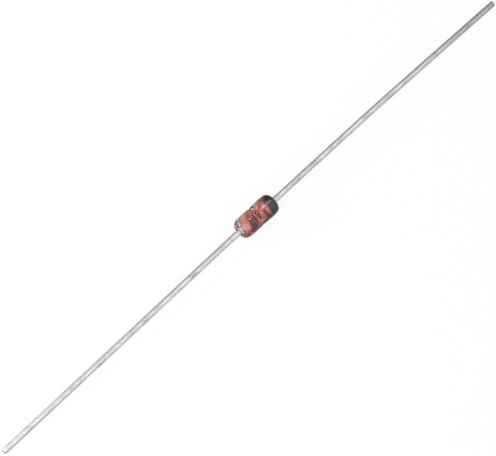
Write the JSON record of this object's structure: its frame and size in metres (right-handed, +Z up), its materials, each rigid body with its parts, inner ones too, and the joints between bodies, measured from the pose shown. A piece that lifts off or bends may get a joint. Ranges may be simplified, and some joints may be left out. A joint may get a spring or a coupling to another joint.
{
  "type": "zener diode",
  "caption": "Axial glass zener diode with a dark cathode band and straight tinned leads, for regulating voltage.",
  "frame": {"origin": "on the table that the diode rests on, straight below the middle of the glass and midway between the two lead tips", "axes": "+X along the diode's axis towards the cathode, the end with the dark band; +Z up, away from the table"},
  "size_m": [0.0578, 0.0018, 0.0019],
  "materials": {
    "glass": "clear, fused, slightly grey-green",
    "band_ink": "fired ink, dark, satin",
    "plug_copper": "copper cladding with a red oxide film",
    "core_alloy": "cut nickel-iron, dull grey",
    "weld": "fused, frosted grey",
    "lead_tin": "tin plate, satin, slightly blotchy",
    "silicon": "sawn and etched silicon, dark grey",
    "button_silver": "electroplated silver, matt"
  },
  "bodies": {
    "root": {"glass_sleeve": "glass", "cathode_band": "band_ink", "anode_core": "core_alloy", "cathode_core": "core_alloy", "anode_plug": "plug_copper", "cathode_plug": "plug_copper", "anode_weld": "weld", "cathode_weld": "weld", "anode_lead": "lead_tin", "cathode_lead": "lead_tin", "zener_chip": "silicon", "contact_button": "button_silver"}
  },
  "joints": []
}
